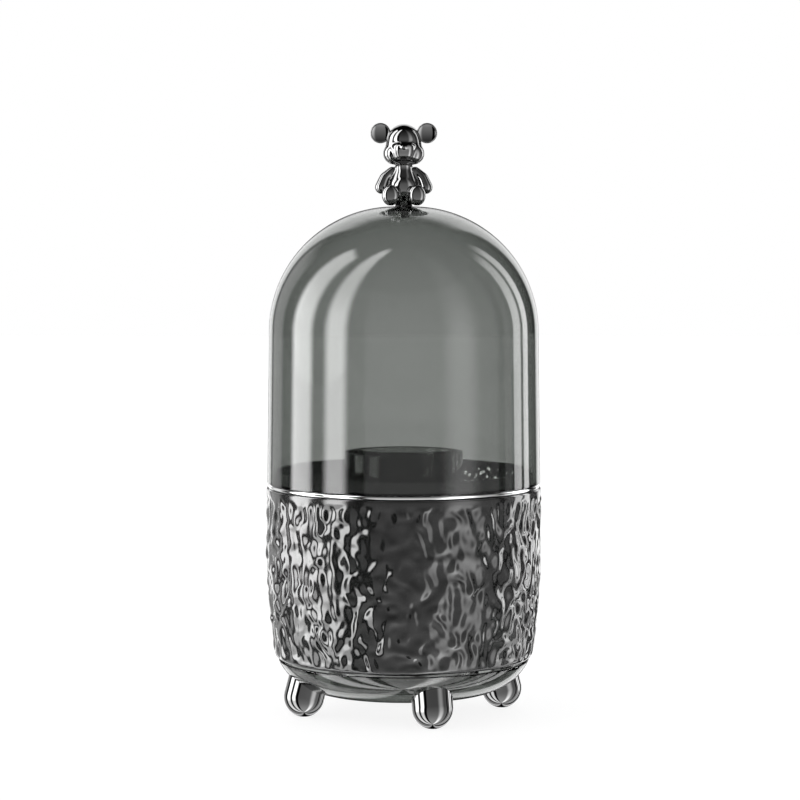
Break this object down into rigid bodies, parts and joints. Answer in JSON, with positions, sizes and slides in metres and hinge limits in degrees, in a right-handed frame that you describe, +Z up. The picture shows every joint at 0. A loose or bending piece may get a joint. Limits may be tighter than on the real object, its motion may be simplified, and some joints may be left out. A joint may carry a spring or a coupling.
{
  "type": "rotating cosmetics holder with dome cover",
  "caption": "Round cosmetics and brush holder: relief-walled bucket turning on a footed bowl, lift-out divider and a lift-off dome cover with a seated bear knob.",
  "frame": {"origin": "on the axis of revolution, in the plane the feet stand on", "axes": "+Z up along the axis of revolution, the bear faces -Y, +X to the viewer's right when facing the bear"},
  "size_m": [0.122, 0.122, 0.2626],
  "materials": {
    "smoke_dome": "gloss",
    "smoke_bowl": "gloss",
    "dark_relief": "gloss",
    "insert_black": "gloss",
    "chrome": "polished",
    "steel": "satin",
    "ball_steel": "polished",
    "cage_white": "matte",
    "gasket": "matte"
  },
  "bodies": {
    "base": {"base_bowl": "smoke_bowl", "foot_1": "chrome", "foot_2": "chrome", "foot_3": "chrome", "foot_4": "chrome", "foot_screws": "steel", "lower_race": "steel"},
    "bearing": {"ball_cage": "cage_white", "bearing_balls": "ball_steel"},
    "bucket": {"bucket": "dark_relief", "rim_ring": "chrome", "upper_race": "steel", "pivot_washer": "steel", "pivot_screw": "steel"},
    "insert": {"divider_insert": "insert_black"},
    "dome": {"dome_cover": "smoke_dome", "bear_knob": "chrome", "knob_gasket": "gasket", "knob_washer": "steel", "knob_screw": "steel"}
  },
  "joints": [
    {"name": "bucket_turn", "type": "hinge", "parent": "base", "child": "bucket", "pos_m": [0, 0, 0.0222], "axis": [0, 0, 1], "continuous": true},
    {"name": "cage_turn", "type": "hinge", "parent": "base", "child": "bearing", "pos_m": [0, 0, 0.0222], "axis": [0, 0, 1], "continuous": true},
    {"name": "dome_lift", "type": "slide", "parent": "bucket", "child": "dome", "axis": [0, 0, 1], "range_m": [0, 0.15]},
    {"name": "insert_lift", "type": "slide", "parent": "bucket", "child": "insert", "axis": [0, 0, 1], "range_m": [0, 0.082]}
  ],
  "couplings": [
    {"joint": "cage_turn", "follows": "bucket_turn", "ratio": 0.5}
  ]
}
